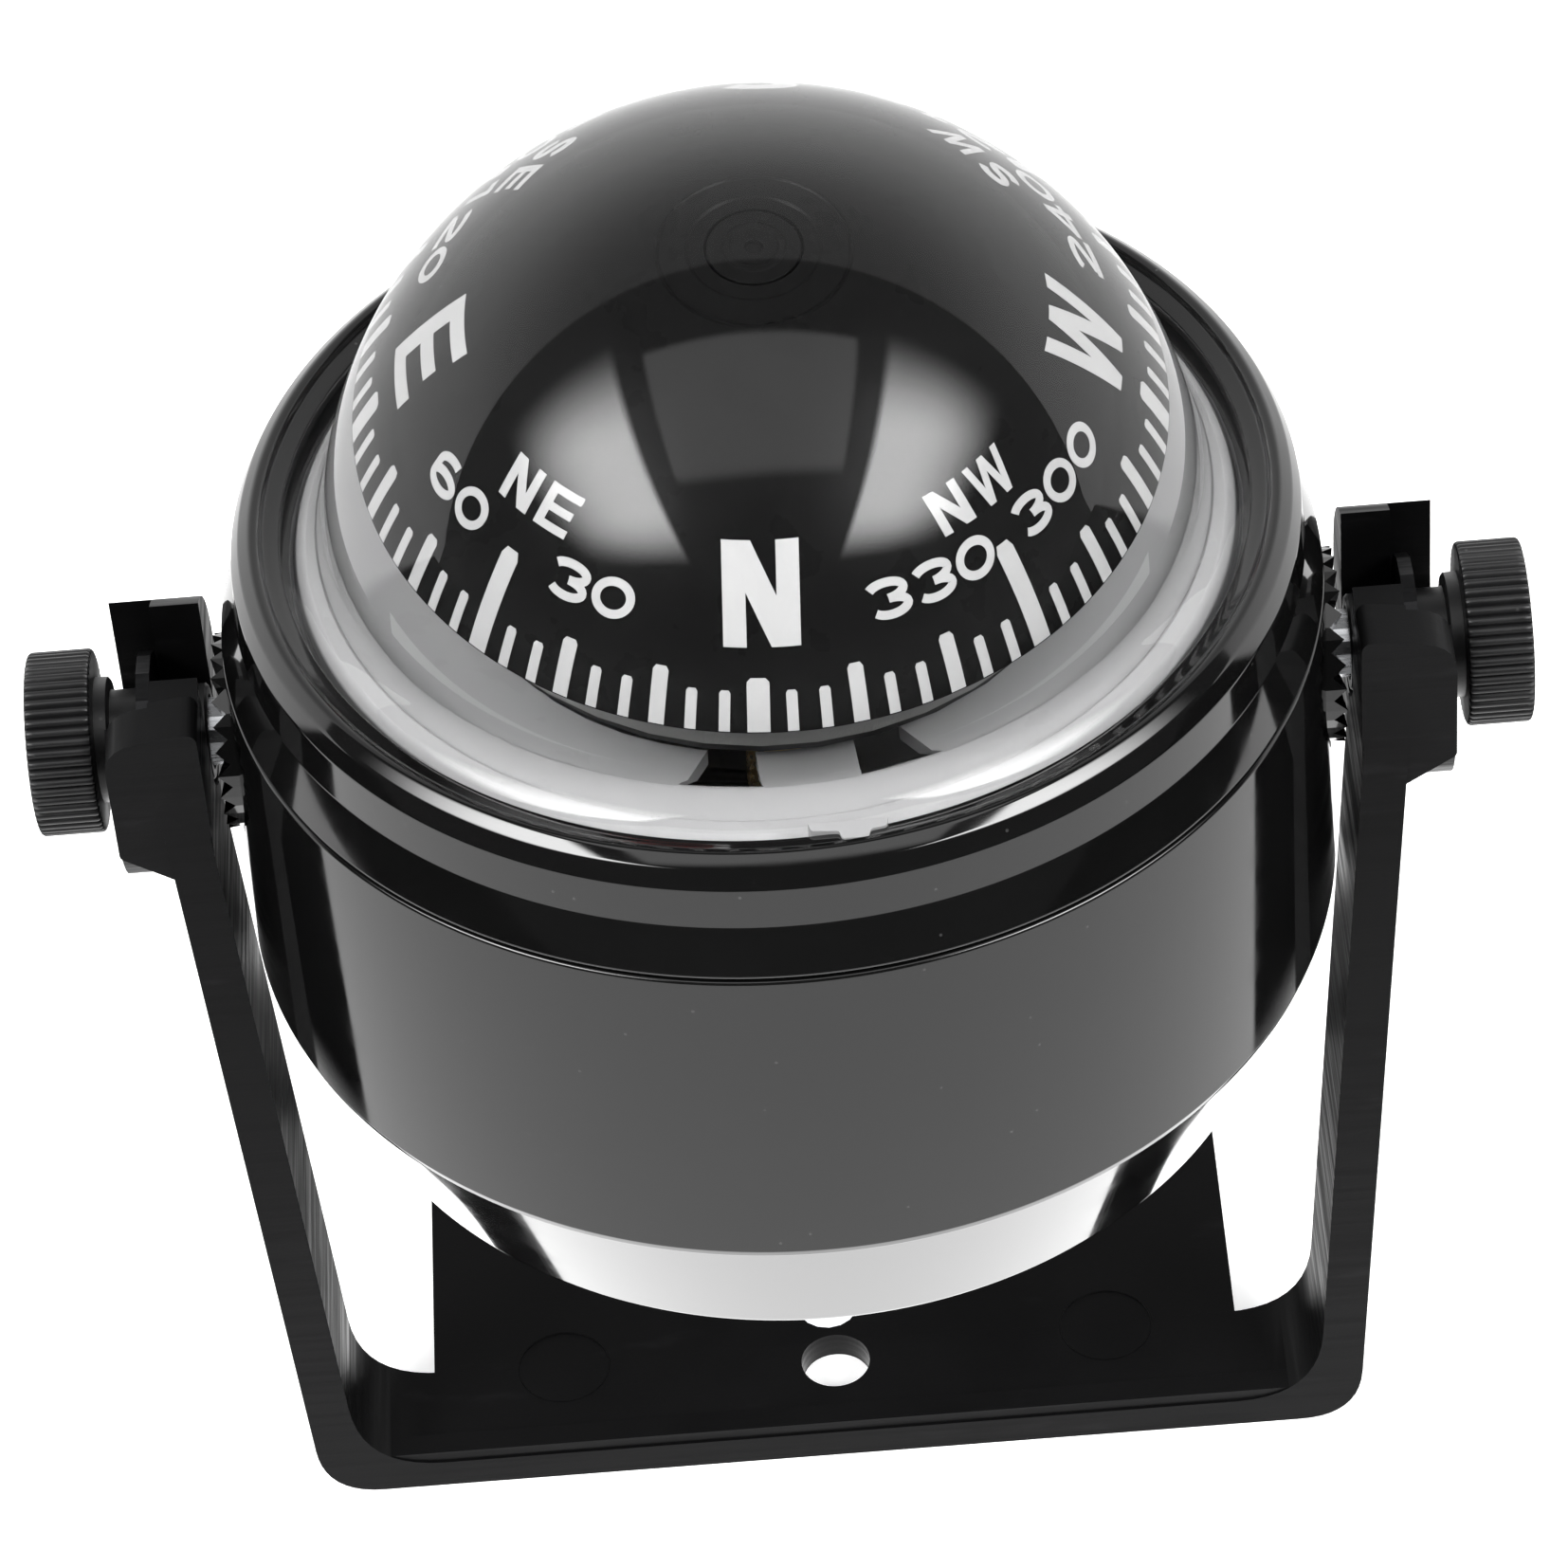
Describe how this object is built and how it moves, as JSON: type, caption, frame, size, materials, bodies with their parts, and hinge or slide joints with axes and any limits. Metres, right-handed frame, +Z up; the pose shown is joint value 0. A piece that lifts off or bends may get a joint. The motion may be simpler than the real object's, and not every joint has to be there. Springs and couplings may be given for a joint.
{
  "type": "binnacle compass",
  "caption": "Ball compass with a domed card under a clear dome, in a round black case that tilts in a U bracket and is held by knurled side knobs.",
  "frame": {"origin": "on the underside of the bracket's base, straight below the tilt axis", "axes": "+Z up, the reader stands at -Y and looks along +Y, +X is the reader's right and runs along the tilt axis"},
  "size_m": [0.11, 0.0814, 0.115],
  "materials": {
    "bracket_plastic": "moulded satin black, slightly rough",
    "knob_plastic": "moulded satin black, ribbed",
    "satin_plastic": "satin black inner moulding",
    "case_plastic": "high gloss black",
    "clear_acrylic": "polished clear acrylic",
    "pale_plastic": "pale grey-white, slightly translucent",
    "card_black": "satin black with pale grey lettering",
    "black_rubber": "soft black rubber",
    "float_foam": "closed-cell foam",
    "steel": "plain stainless steel",
    "magnet": "plated bar magnet",
    "brass": "turned brass",
    "jewel": "synthetic ruby",
    "red_plastic": "red moulded mark"
  },
  "bodies": {
    "bracket": {"bracket": "bracket_plastic"},
    "housing": {"case_shell": "case_plastic", "bezel_ring": "case_plastic", "dome": "clear_acrylic", "dome_gasket": "black_rubber", "inner_ring": "pale_plastic", "baffle_plate": "pale_plastic", "bowl": "pale_plastic", "expansion_diaphragm": "black_rubber", "diaphragm_ring": "satin_plastic", "pivot_spider": "satin_plastic", "pivot_post": "brass", "pivot_needle": "steel", "lubber_post": "red_plastic", "bottom_plate": "satin_plastic", "compensator_carrier": "satin_plastic", "bottom_screw_1": "steel", "bottom_screw_2": "steel", "bottom_screw_3": "steel", "right_threaded_insert": "brass", "left_threaded_insert": "brass", "right_rosette": "case_plastic", "left_rosette": "case_plastic"},
    "card": {"compass_card": "card_black", "card_hub": "case_plastic", "jewel_cup": "jewel", "magnet_yoke": "satin_plastic", "card_float": "float_foam", "card_magnet_east": "magnet", "card_magnet_west": "magnet"},
    "right_washer": {"right_washer": "steel"},
    "right_knob": {"right_knob": "knob_plastic", "right_stud": "steel"},
    "left_washer": {"left_washer": "steel"},
    "left_knob": {"left_knob": "knob_plastic", "left_stud": "steel"},
    "compensator_ns": {"compensator_rod_ns": "brass", "compensator_magnet_ns": "magnet"},
    "compensator_ew": {"compensator_rod_ew": "brass", "compensator_magnet_ew": "magnet"}
  },
  "joints": [
    {"name": "housing_tilt", "type": "hinge", "parent": "bracket", "child": "housing", "pos_m": [0, 0, 0.0672], "axis": [1, 0, 0], "range_deg": [-90, 90]},
    {"name": "card_turn", "type": "hinge", "parent": "housing", "child": "card", "pos_m": [0, 0, 0.087], "axis": [0.0349, -0.1218, 0.9919], "continuous": true},
    {"name": "right_washer_slide", "type": "slide", "parent": "housing", "child": "right_washer", "axis": [1, 0, 0], "range_m": [0, 0.0016]},
    {"name": "right_knob_turn", "type": "hinge", "parent": "right_washer", "child": "right_knob", "pos_m": [0.052, 0, 0.0672], "axis": [1, 0, 0], "range_deg": [0, 720]},
    {"name": "left_washer_slide", "type": "slide", "parent": "housing", "child": "left_washer", "axis": [-1, 0, 0], "range_m": [0, 0.0016]},
    {"name": "left_knob_turn", "type": "hinge", "parent": "left_washer", "child": "left_knob", "pos_m": [-0.052, 0, 0.0672], "axis": [-1, 0, 0], "range_deg": [0, 720]},
    {"name": "compensator_ns_turn", "type": "hinge", "parent": "housing", "child": "compensator_ns", "pos_m": [0, 0, 0.0444], "axis": [0, 1, 0], "continuous": true},
    {"name": "compensator_ew_turn", "type": "hinge", "parent": "housing", "child": "compensator_ew", "pos_m": [0, 0, 0.049], "axis": [1, 0, 0], "continuous": true}
  ],
  "couplings": [
    {"joint": "right_knob_turn", "follows": "right_washer_slide", "rad_per_m": 7853.9},
    {"joint": "left_knob_turn", "follows": "left_washer_slide", "rad_per_m": 7853.9}
  ]
}
